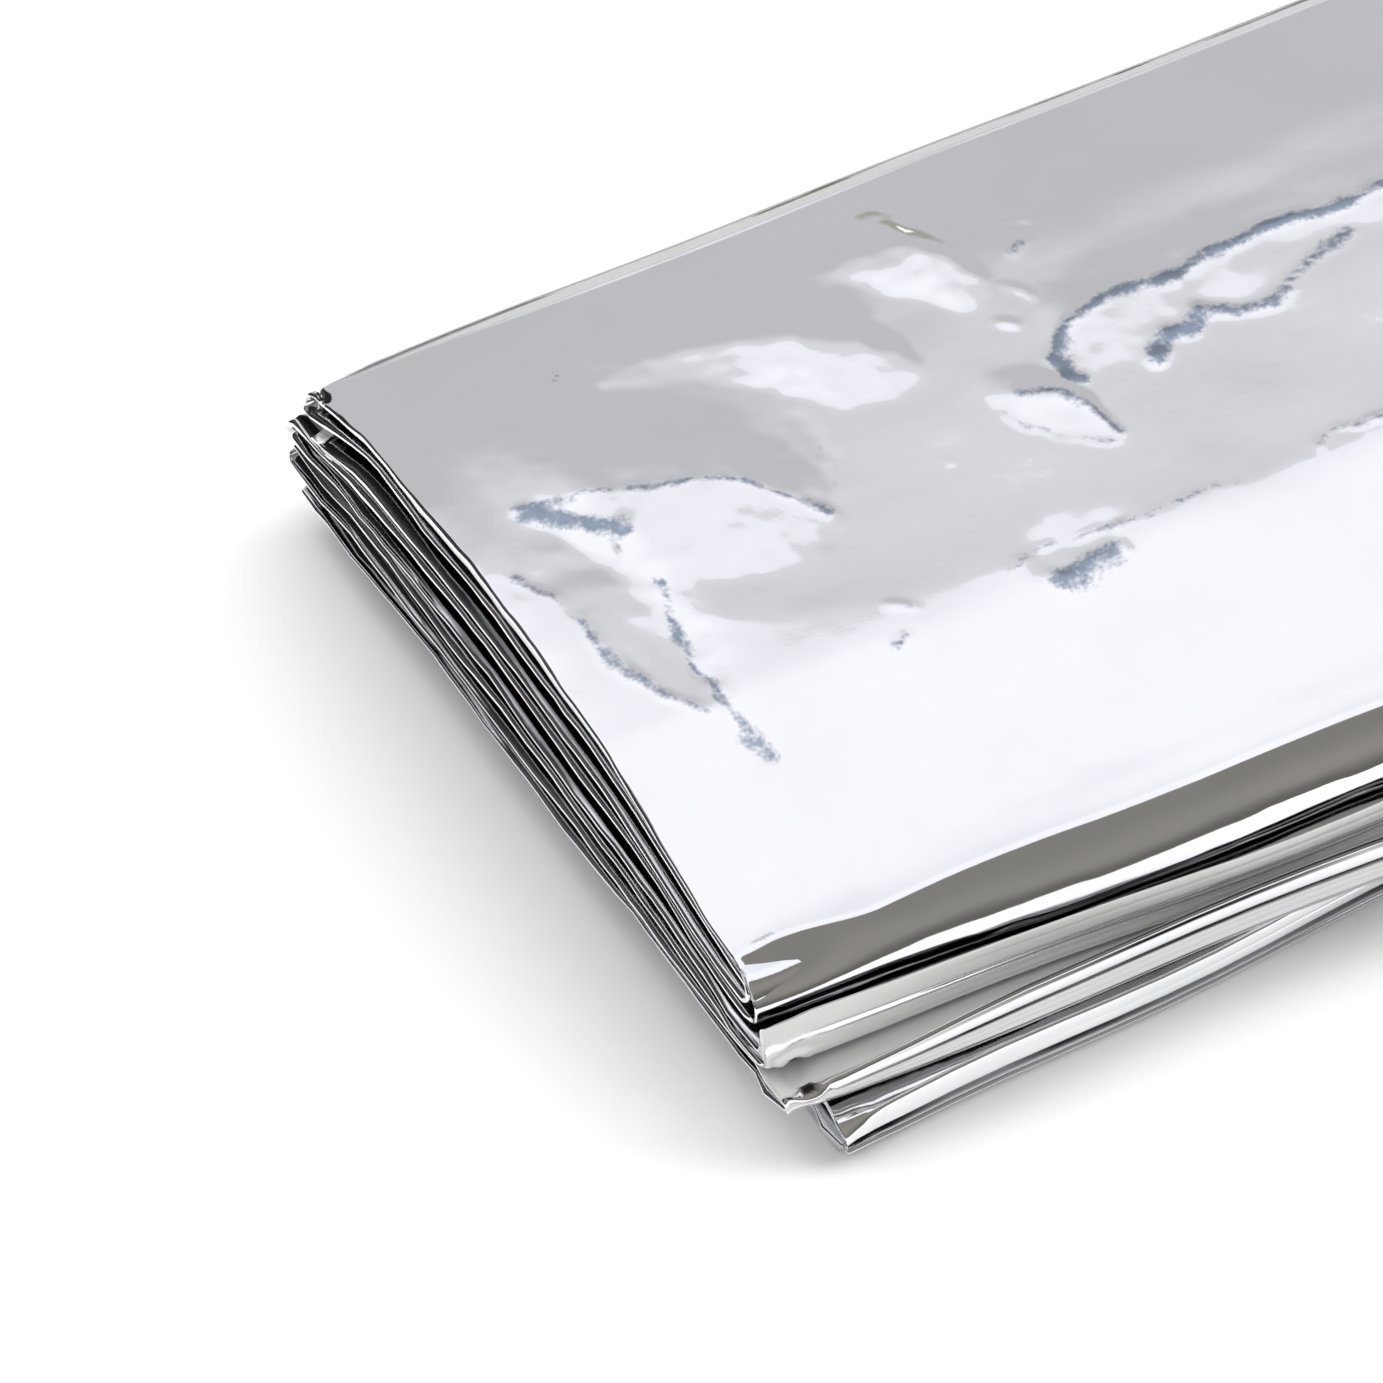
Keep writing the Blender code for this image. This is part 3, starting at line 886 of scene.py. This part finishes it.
def fold_column(fold, y, share, face, part):
    """One line of points along a fold: at a share of its turn, on its outer or inner face."""
    one, two, side = fold["from"], fold["to"], fold["side"]
    down = 1.0 if two > one else -1.0
    turn = math.pi * share
    x, middle, radius = fold_radius(fold, y, share, face, part)
    number = blend(float(one), float(two), share)
    out, high = math.sin(turn), math.cos(turn)
    shade = np.zeros(np.shape(x))
    painted_shade = np.zeros(np.shape(x))
    pressed = 0.0
    if face > 0:
        ripple = noise(x / 9.0, share * 3.0, number, 91) + 0.4 * noise(x / 2.6, share * 5.0, number, 93)
        radius = radius * (1.0 + 0.03 * ripple * math.sin(turn))
        if two in FACES:
            out, high = face_shape(two, x, share)
            pressed, painted_shade = grooves(two, x, share)
            shade = satin(two, x, share)
    out_z = middle + down * radius * high
    if face > 0 and two in (5, 7):
        ring = curled_bit(x, out_z)
        pressed = pressed - BIT_OUT * ring * math.sin(turn)
        # Painted shade between the curled bit's rings.
        painted_shade = np.maximum(painted_shade, BIT_PAINTED_SHADE * ease(0.15, 0.45, -ring))
    out_y = y + side * (radius * out - pressed)
    if two == 0 and face > 0:
        out_z = out_z + back_edge_turn(x, turn, y)
        shade = shade + RIM_SATIN * ease(math.pi - 0.12, math.pi, turn)
        # Painted shade along the back rim's turn, from the left end on.
        painted_shade = painted_shade + RIM_PAINTED_SHADE * ease(0.0, 6.0, x) * (1.0 - ease(math.pi - 0.2, math.pi - 0.1, turn))
    points = np.stack([x, out_y, out_z], axis=1)
    looks = np.stack([0.0 * part, shade, painted_shade], axis=1)
    return corner_crumple(points, part, out_y, number), looks


def sheet_columns(part):
    """Every line of points round the sheet's section, in pairs of faces from end to end.

    Each knot holds one column of each face. On the top, its roll and its back turn the outer face
    has more columns between two knots, and those use all the rows of the mesh. The front folds
    have a few more too, with the coarse rows.
    """
    starts = [fold_start(fold, part) for fold in FOLD_ROWS]
    path = [FOLD_ROWS[0]["from"]] + [fold["to"] for fold in FOLD_ROWS]
    bends = [FREE_END + 0.0 * part] + starts + [TOP_BACK + 0.0 * part]
    roll = next(i for i, fold in enumerate(FOLD_ROWS) if fold["from"] == 0)
    knots, between = [], []
    facing = 1.0
    edge = starts[roll] + early_bend(FOLD_ROWS[roll], starts[roll], part)
    for number, index in enumerate(path):
        fine = index == 0
        for step in range(LAYER_STEPS + 1):
            share = step / LAYER_STEPS
            ends = (index, bends[number], bends[number + 1])
            shown = (index, bends[number], edge) if fine else ends
            pair = [layer_column(*shown, share, facing, part, fine),
                    layer_column(*ends, share, -facing, part, False)]
            knots.append((pair, fine))
            if step < LAYER_STEPS:
                extra = []
                if fine:
                    split_count = FINE_SPLIT if step else BACK_SPLIT
                    for split in range(1, split_count):
                        at = (step + split / split_count) / LAYER_STEPS
                        extra.append(layer_column(*shown, at, facing, part, True))
                between.append((extra, True))
        if number == len(FOLD_ROWS):
            break
        fold, start = FOLD_ROWS[number], starts[number]
        down = 1.0 if fold["to"] > fold["from"] else -1.0
        outer = 1.0 if facing * down > 0 else -1.0
        fine = number in (roll - 1, roll)
        steps = NOSE_STEPS if fold["to"] in FACES else TURN_STEPS
        steps = ROLL_STEPS if number == roll else steps
        split_count = ROLL_SPLIT if fine else NOSE_SPLIT if fold["to"] in FACES else 1
        for step in range(1, steps + 1):
            extra = []
            for split in range(1, split_count):
                at = (step - 1 + split / split_count) / steps
                extra.append(fold_column(fold, start, at, outer, part))
            between.append((extra, fine))
            if step < steps:
                share = step / steps
                pair = [fold_column(fold, start, share, side * outer, part) for side in (1.0, -1.0)]
                knots.append((pair, fine))
        facing = -facing
    return knots, between


class SheetMesh:
    """Collects the points and faces of the sheet."""

    def __init__(self, coarse, count):
        self.points, self.looks, self.faces = [], [], []
        self.coarse = coarse
        self.every = np.arange(count)
        self.total = 0

    def column(self, made, fine):
        """Add one line of points and return its point numbers by mesh row."""
        points, looks = made
        used = self.every if fine else self.coarse
        numbers = np.full(len(self.every), -1)
        numbers[used] = self.total + np.arange(len(used))
        self.points.append(points[used])
        self.looks.append(looks[used])
        self.total += len(used)
        return numbers

    def join(self, one, two):
        """Fill the strip between two columns, whichever rows each of them has."""
        both_fine = (one >= 0).all() and (two >= 0).all()
        used = self.every if both_fine else self.coarse
        for low, high in zip(used, used[1:]):
            first = [n for n in one[low : high + 1] if n >= 0]
            second = [n for n in two[low : high + 1] if n >= 0]
            self.faces.append(first + second[::-1])

    def cap(self, row, one, two):
        """Close the thin end between two chains of columns, at one mesh row."""
        self.faces.append([c[row] for c in one] + [c[row] for c in reversed(two)])


def build_sheet(name):
    """The whole sheet as one closed mesh, at its solid's place."""
    part, coarse = stations()
    knots, between = sheet_columns(part)
    mesh = SheetMesh(coarse, len(part))
    made = []
    for pair, fine in knots:
        made.append([mesh.column(pair[0], fine), mesh.column(pair[1], False)])
    ends = (0, len(part) - 1)
    for i, (extra, fine) in enumerate(between):
        chain = [made[i][0]]
        chain += [mesh.column(column, fine) for column in extra]
        chain.append(made[i + 1][0])
        for one, two in zip(chain, chain[1:]):
            mesh.join(one, two)
        mesh.join(made[i][1], made[i + 1][1])
        for row in ends:
            mesh.cap(row, chain, [made[i][1], made[i + 1][1]])
    mesh.join(made[0][0], made[0][1])
    mesh.join(made[-1][0], made[-1][1])

    points = np.concatenate(mesh.points)
    looks = np.concatenate(mesh.looks)
    low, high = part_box(SOLID)
    points[:, 0] += low[0] / MM - SOLID_LEFT
    points[:, 1] += low[1] / MM - SOLID_FRONT
    data = bpy.data.meshes.new(name)
    data.from_pydata([tuple(p) for p in points * MM], [], mesh.faces)
    for number, look in enumerate(("crumple_and_reflection", "satin", "painted_shade")):
        attribute = data.attributes.new(look, "FLOAT", "POINT")
        attribute.data.foreach_set("value", looks[:, number].copy())
    form = bmesh.new()
    form.from_mesh(data)
    bmesh.ops.recalc_face_normals(form, faces=form.faces)
    form.to_mesh(data)
    form.free()
    for face in data.polygons:
        face.use_smooth = True
    sheet = bpy.data.objects.new(name, data)
    bpy.context.scene.collection.objects.link(sheet)
    return sheet


class Nodes:
    """Short calls for building a node tree."""

    def __init__(self, tree):
        self.tree = tree
        tree.nodes.clear()

    def add(self, kind, **settings):
        node = self.tree.nodes.new(kind)
        for key, value in settings.items():
            setattr(node, key, value)
        return node

    def link(self, source, target):
        self.tree.links.new(source, target)

    def put(self, socket, value):
        if isinstance(value, bpy.types.NodeSocket):
            self.link(value, socket)
        else:
            socket.default_value = value

    def math(self, operation, *values):
        node = self.add("ShaderNodeMath", operation=operation)
        for socket, value in zip(node.inputs, values):
            self.put(socket, value)
        return node.outputs[0]

    def span(self, value, low, high, to_low=0.0, to_high=1.0):
        node = self.add("ShaderNodeMapRange", interpolation_type="SMOOTHSTEP")
        for socket, given in zip(node.inputs, (value, low, high, to_low, to_high)):
            self.put(socket, given)
        return node.outputs[0]

    def mix(self, share, one, two):
        node = self.add("ShaderNodeMix", data_type="RGBA")
        self.put(node.inputs[0], share)
        self.put(node.inputs[6], one)
        self.put(node.inputs[7], two)
        return node.outputs[2]

    def noise(self, where, scale, detail=3.0, rough=0.5):
        node = self.add("ShaderNodeTexNoise")
        self.link(where, node.inputs["Vector"])
        node.inputs["Scale"].default_value = scale
        node.inputs["Detail"].default_value = detail
        node.inputs["Roughness"].default_value = rough
        return node.outputs["Fac"]


def film_material():
    """Bright metallised film: mirror-like and faintly wavy.

    It is rougher where it is crumpled and has a painted bluish reflection there, satin along its fine
    pleats, and painted shade deep in its folds and gaps.
    """
    material = bpy.data.materials.new("silver_film")
    material.use_nodes = True
    nodes = Nodes(material.node_tree)
    where = nodes.add("ShaderNodeTexCoord").outputs["Object"]
    crumple_and_reflection = nodes.add("ShaderNodeAttribute", attribute_name="crumple_and_reflection").outputs["Fac"]
    broad = nodes.noise(where, 90.0, 3.0, 0.55)
    fine = nodes.noise(where, 700.0, 3.0, 0.6)
    grain = nodes.noise(where, 2600.0, 2.0, 0.5)

    clean = nodes.mix(nodes.span(broad, 0.35, 0.7), FILM_CLEAR, FILM_CLOUDY)
    # The crumpled marks get a dark bluish painted reflection, broken up by fine noise; they also make
    # the film rougher below.
    scratch = nodes.math("MULTIPLY", nodes.math("SUBTRACT", fine, 0.5), 1.2)
    speck = nodes.math("MULTIPLY", nodes.math("SUBTRACT", grain, 0.5), 0.7)
    mark_breakup = nodes.math("ADD", crumple_and_reflection, nodes.math("ADD", scratch, speck))
    some = nodes.span(crumple_and_reflection, 0.02, 0.3)
    painted_mark_reflection = nodes.math("MULTIPLY", some, nodes.span(mark_breakup, 0.12, 0.9))
    satin_share = nodes.add("ShaderNodeAttribute", attribute_name="satin").outputs["Fac"]
    clean = nodes.mix(satin_share, clean, FILM_SATIN)
    colour = nodes.mix(painted_mark_reflection, clean, FILM_CRUMPLE_PAINTED_REFLECTION)
    # Painted shade: near black deep in the gaps, in the pressed lines, between the curled bit's rings,
    # along the back rim and on the packet's underside.
    painted_shade = nodes.add("ShaderNodeAttribute", attribute_name="painted_shade").outputs["Fac"]
    colour = nodes.mix(painted_shade, colour, FILM_PAINTED_SHADE)

    rough = nodes.span(broad, 0.3, 0.75, 0.045, 0.10)
    rough = nodes.math("ADD", rough, nodes.math("MULTIPLY", crumple_and_reflection, 0.12))
    rough = nodes.math("ADD", rough, nodes.math("MULTIPLY", grain, 0.02))
    rough = nodes.math("ADD", rough, nodes.math("MULTIPLY", satin_share, 0.3))
    mirror = nodes.math("SUBTRACT", 1.0, nodes.math("MULTIPLY", satin_share, 0.82))

    gentle = nodes.add("ShaderNodeBump")
    gentle.inputs["Strength"].default_value = 0.25
    gentle.inputs["Distance"].default_value = 0.0002
    nodes.link(broad, gentle.inputs["Height"])
    close = nodes.add("ShaderNodeBump")
    close.inputs["Strength"].default_value = 0.12
    close.inputs["Distance"].default_value = 0.00006
    nodes.link(fine, close.inputs["Height"])
    nodes.link(gentle.outputs["Normal"], close.inputs["Normal"])

    shader = nodes.add("ShaderNodeBsdfPrincipled")
    nodes.link(mirror, shader.inputs["Metallic"])
    nodes.link(colour, shader.inputs["Base Color"])
    nodes.link(rough, shader.inputs["Roughness"])
    nodes.link(close.outputs["Normal"], shader.inputs["Normal"])
    output = nodes.add("ShaderNodeOutputMaterial")
    nodes.link(shader.outputs["BSDF"], output.inputs["Surface"])
    return material


def floor_material():
    material = bpy.data.materials.new("pale_floor")
    material.use_nodes = True
    nodes = Nodes(material.node_tree)
    where = nodes.add("ShaderNodeTexCoord").outputs["Object"]
    soft = nodes.span(nodes.noise(where, 3.0, 2.0), 0.3, 0.7)
    colour = nodes.mix(soft, (0.93, 0.93, 0.93, 1.0), (0.95, 0.95, 0.95, 1.0))
    shader = nodes.add("ShaderNodeBsdfPrincipled")
    shader.inputs["Roughness"].default_value = 0.7
    shader.inputs["Specular IOR Level"].default_value = 0.2
    nodes.link(colour, shader.inputs["Base Color"])
    output = nodes.add("ShaderNodeOutputMaterial")
    nodes.link(shader.outputs["BSDF"], output.inputs["Surface"])
    return material


def make_floor():
    data = bpy.data.meshes.new("floor")
    signs = ((-1, -1), (1, -1), (1, 1), (-1, 1))
    corners = [(x * FLOOR_SIDE, y * FLOOR_SIDE, -FLOOR_BELOW) for x, y in signs]
    data.from_pydata(corners, [], [(0, 1, 2, 3)])
    floor = bpy.data.objects.new("floor", data)
    bpy.context.scene.collection.objects.link(floor)
    data.materials.append(floor_material())


def make_studio():
    """A soft white studio: even light, and a large soft box overhead that the film mirrors."""
    world = bpy.data.worlds.new("studio")
    world.use_nodes = True
    bpy.context.scene.world = world
    nodes = Nodes(world.node_tree)
    azimuth = math.radians(AZIMUTH)
    along = nodes.add("ShaderNodeTexCoord").outputs["Generated"]

    def towards(direction):
        node = nodes.add("ShaderNodeVectorMath", operation="DOT_PRODUCT")
        nodes.link(along, node.inputs[0])
        node.inputs[1].default_value = direction
        return node.outputs["Value"]

    behind = towards((-math.sin(azimuth), math.cos(azimuth), 0.0))
    aside = towards((math.cos(azimuth), math.sin(azimuth), 0.0))
    upward = towards((0.0, 0.0, 1.0))
    angle = nodes.math("MULTIPLY", nodes.math("ARCTAN2", upward, behind), 180.0 / math.pi)

    wall = nodes.mix(nodes.span(angle, *WALL_RISES), WALL_FOOT, WALL_MIDDLE)
    wall = nodes.mix(nodes.span(angle, *WALL_BRIGHTENS), wall, WALL_TOP)
    front = nodes.mix(nodes.span(angle, *FRONT_BRIGHTENS), FRONT_TOP, FRONT_MIDDLE)
    front = nodes.mix(nodes.span(angle, *FRONT_DARKENS), front, FRONT_FOOT)
    studio = nodes.mix(nodes.span(angle, *FRONT_STARTS), wall, front)
    box = nodes.math("MULTIPLY", nodes.span(angle, *LAMP_STARTS), nodes.span(angle, *LAMP_ENDS))
    wide = nodes.math("MULTIPLY", nodes.span(aside, *LAMP_LEFT), nodes.span(aside, *LAMP_RIGHT))
    streak = nodes.math("MULTIPLY", nodes.span(aside, *STREAK_STARTS), nodes.span(aside, *STREAK_ENDS))
    shade = nodes.mix(streak, SIDE_DARK, SIDE_STREAK)
    studio = nodes.mix(nodes.span(aside, *SIDE_STARTS), studio, shade)
    lamp = nodes.mix(nodes.span(angle, *LAMP_BRIGHTENS), LAMP_BACK, LAMP_FRONT)
    studio = nodes.mix(nodes.math("MULTIPLY", box, wide), studio, lamp)
    below = nodes.span(upward, 0.0, -0.03)
    studio = nodes.mix(below, studio, STUDIO_FLOOR)

    mirrored = nodes.add("ShaderNodeBackground")
    nodes.link(studio, mirrored.inputs["Color"])
    even = nodes.add("ShaderNodeBackground")
    nodes.link(nodes.mix(box, ROOM_LIGHT, LAMP_LIGHT), even.inputs["Color"])
    pick = nodes.add("ShaderNodeMixShader")
    glossy = nodes.add("ShaderNodeLightPath").outputs["Is Glossy Ray"]
    nodes.link(glossy, pick.inputs[0])
    nodes.link(even.outputs[0], pick.inputs[1])
    nodes.link(mirrored.outputs[0], pick.inputs[2])
    output = nodes.add("ShaderNodeOutputWorld")
    nodes.link(pick.outputs[0], output.inputs["Surface"])
    bpy.context.scene.view_settings.view_transform = "Standard"


def make_camera():
    low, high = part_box(SOLID)
    aim_x, aim_y = low[0] + (AIM[0] - SOLID_LEFT) * MM, low[1] + (AIM[1] - SOLID_FRONT) * MM
    aim = Vector((aim_x, aim_y, AIM[2] * MM))
    azimuth, elevation = math.radians(AZIMUTH), math.radians(ELEVATION)
    level = math.cos(elevation)
    back = Vector((math.sin(azimuth) * level, -math.cos(azimuth) * level, math.sin(elevation)))
    right = Vector((math.cos(azimuth), math.sin(azimuth), 0.0))
    lens = bpy.data.cameras.new("camera")
    lens.sensor_width = SENSOR
    lens.lens = SENSOR * CAMERA_FAR / FRAME_WIDE
    lens.clip_end = CAMERA_SEES
    camera = bpy.data.objects.new("camera", lens)
    matrix = Matrix((right, back.cross(right), back)).transposed().to_4x4()
    matrix.translation = aim + back * CAMERA_FAR
    camera.matrix_world = matrix
    bpy.context.scene.collection.objects.link(camera)
    bpy.context.scene.camera = camera


def flat_length(part):
    """How long the sheet is when its folds are laid out, across the packet."""
    starts = [float(fold_start(fold, part)[0]) for fold in FOLD_ROWS]
    bends = [FREE_END] + starts + [TOP_BACK]
    total = sum(abs(two - one) for one, two in zip(bends, bends[1:]))
    for fold, start in zip(FOLD_ROWS, starts):
        x, y = np.array([LENGTH / 2.0]), np.array([start])
        total += math.pi / 2.0 * abs(float((height(fold["from"], x, y) - height(fold["to"], x, y))[0]))
    return total


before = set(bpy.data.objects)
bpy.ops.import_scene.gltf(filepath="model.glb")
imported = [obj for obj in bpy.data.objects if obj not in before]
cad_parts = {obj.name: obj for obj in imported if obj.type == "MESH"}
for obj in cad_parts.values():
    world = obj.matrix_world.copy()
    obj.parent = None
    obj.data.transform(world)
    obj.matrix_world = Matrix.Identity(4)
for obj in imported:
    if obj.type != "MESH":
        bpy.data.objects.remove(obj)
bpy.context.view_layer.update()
foil = build_sheet("foil_film")
foil.data.materials.append(film_material())
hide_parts(SOLID)
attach(foil, "root")
flat_length(np.array([0.5])) * MM
make_floor()
make_studio()
make_camera()
